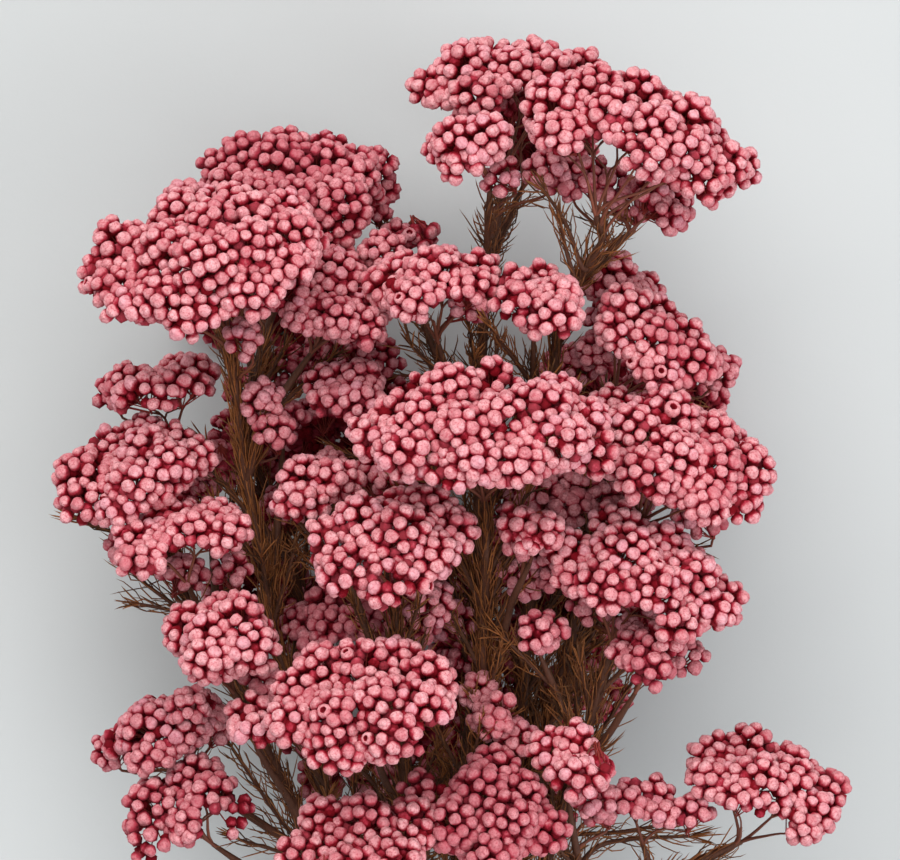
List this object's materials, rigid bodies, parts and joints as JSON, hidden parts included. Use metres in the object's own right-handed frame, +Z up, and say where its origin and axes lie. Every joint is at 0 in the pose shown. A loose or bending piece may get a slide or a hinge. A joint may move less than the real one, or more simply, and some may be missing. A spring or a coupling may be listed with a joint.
{
  "type": "dried rice flower spray",
  "caption": "Cut branching spray of dyed pink dried rice flower, lying on its back: domed heads of small round buds on leafy brown shoots that rise from one woody stem.",
  "frame": {"origin": "middle of the spray's outline, on the surface that it lies on", "axes": "+Y up the stems to the heads, +Z up from the surface to the viewer, +X to the right"},
  "size_m": [0.19, 0.3444, 0.1191],
  "materials": {
    "buds_bright": "matt papery buds, frosted pale at the tips and crimson between",
    "buds_deep": "matt papery buds, a deeper pink",
    "leafy_brown": "dry brown stems with golden to olive brown needle leaves",
    "bark": "dry ridged brown bark"
  },
  "bodies": {
    "root": {"head_crown_left": "buds_bright", "head_crown_low": "buds_bright", "head_crown_right": "buds_bright", "head_crown_tip": "buds_deep", "head_left_rear": "buds_deep", "head_left_front": "buds_bright", "head_left_under": "buds_deep", "head_mid_dark": "buds_deep", "head_mid_left": "buds_bright", "head_mid_right": "buds_bright", "head_right_high": "buds_bright", "head_right_slope": "buds_bright", "head_centre_front": "buds_bright", "head_centre_left": "buds_deep", "head_right_front": "buds_bright", "head_centre_small": "buds_bright", "head_right_low": "buds_bright", "head_right_under": "buds_deep", "head_left_flat": "buds_bright", "head_left_outer": "buds_bright", "head_left_inner": "buds_deep", "head_left_mid": "buds_bright", "head_gap_left": "buds_deep", "head_inner_left": "buds_bright", "head_inner_front": "buds_bright", "head_inner_dark": "buds_deep", "head_low_left": "buds_bright", "head_low_left_tip": "buds_bright", "head_low_front": "buds_bright", "head_low_small": "buds_deep", "head_corner_high": "buds_deep", "head_corner_low": "buds_deep", "head_base_left": "buds_bright", "head_base_front": "buds_deep", "head_base_right": "buds_bright", "head_gap_small": "buds_bright", "head_chain": "buds_deep", "head_corner_right": "buds_bright", "head_back_left": "buds_deep", "head_back_left_low": "buds_deep", "head_back_low": "buds_deep", "head_back_high": "buds_deep", "head_back_right": "buds_deep", "head_back_right_low": "buds_deep", "head_back_centre": "buds_deep", "shoot_top_a": "leafy_brown", "shoot_top_b": "leafy_brown", "shoot_centre": "leafy_brown", "shoot_front": "leafy_brown", "shoot_left_top": "leafy_brown", "shoot_back_left": "leafy_brown", "shoot_back_right": "leafy_brown", "shoot_right_high": "leafy_brown", "shoot_left_low": "leafy_brown", "shoot_left_mid": "leafy_brown", "shoot_base_front": "leafy_brown", "shoot_right": "leafy_brown", "shoot_right_low": "leafy_brown", "woody_stem": "bark"}
  },
  "joints": []
}
